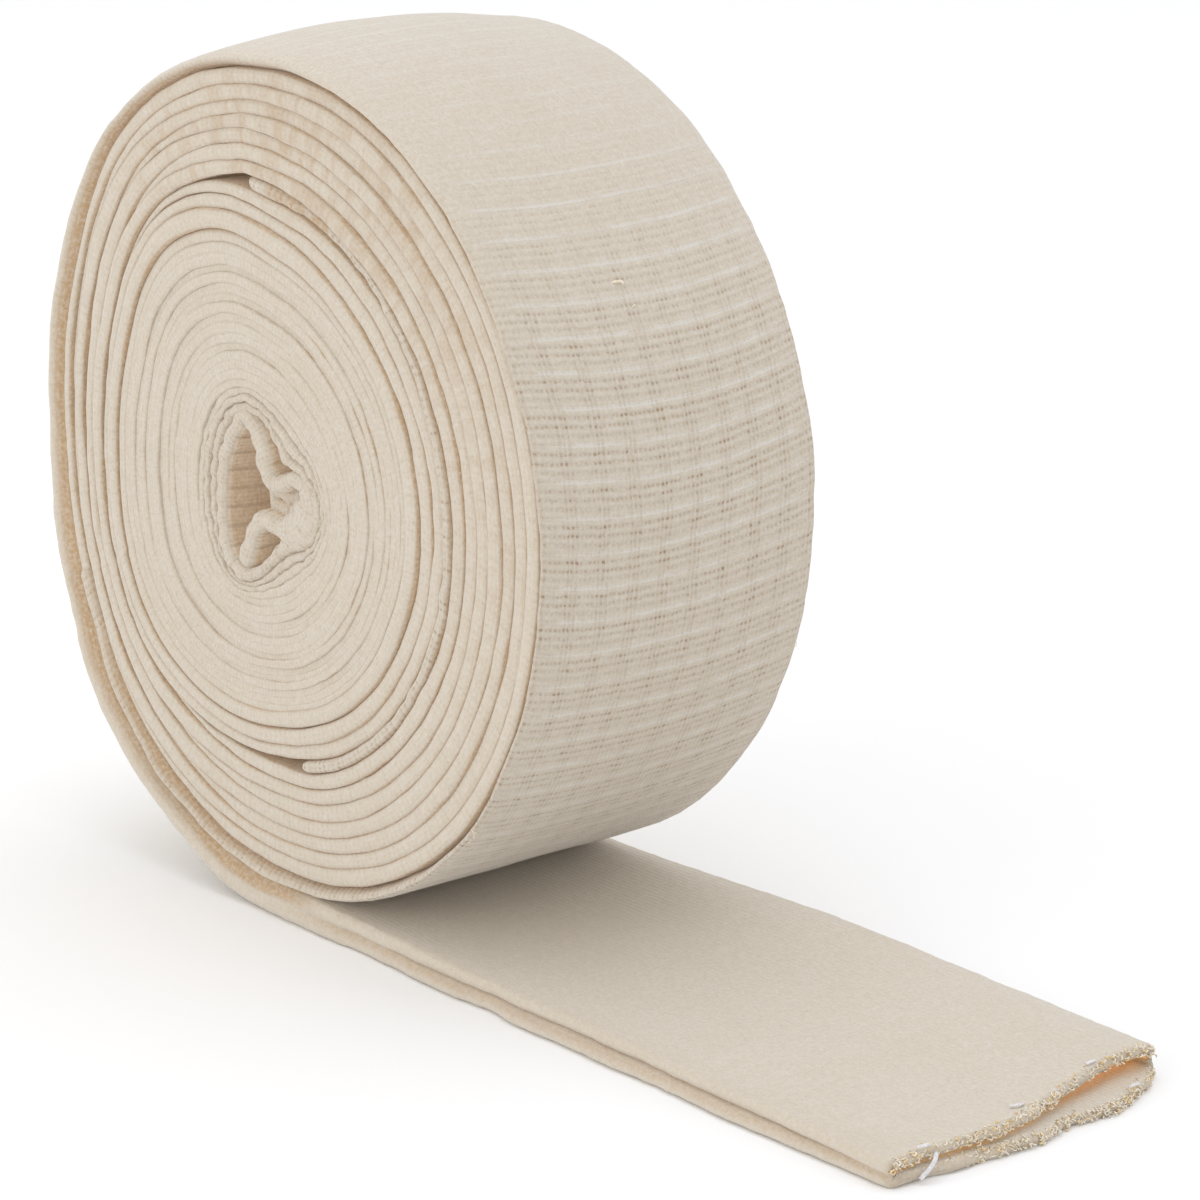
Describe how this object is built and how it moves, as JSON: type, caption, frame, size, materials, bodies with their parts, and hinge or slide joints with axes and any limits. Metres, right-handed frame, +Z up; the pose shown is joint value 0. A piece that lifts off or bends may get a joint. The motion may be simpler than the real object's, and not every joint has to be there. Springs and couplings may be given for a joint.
{
  "type": "tubular support bandage roll",
  "caption": "Knitted cotton tube, laid flat and wound into a roll, with its loose end drawn out underneath to an open mouth.",
  "frame": {"origin": "on the resting surface, under the roll's axis, half way along the axis", "axes": "+X along the loose end towards its open mouth, +Y along the roll's axis from the front face to the back one, +Z up"},
  "size_m": [0.2548, 0.0704, 0.1742],
  "materials": {
    "knitted_cotton": "unbleached cotton knitted as a tube with covered elastic threads laid across it, matt"
  },
  "bodies": {
    "root": {"wound_roll": "knitted_cotton", "loose_end": "knitted_cotton"}
  },
  "joints": []
}
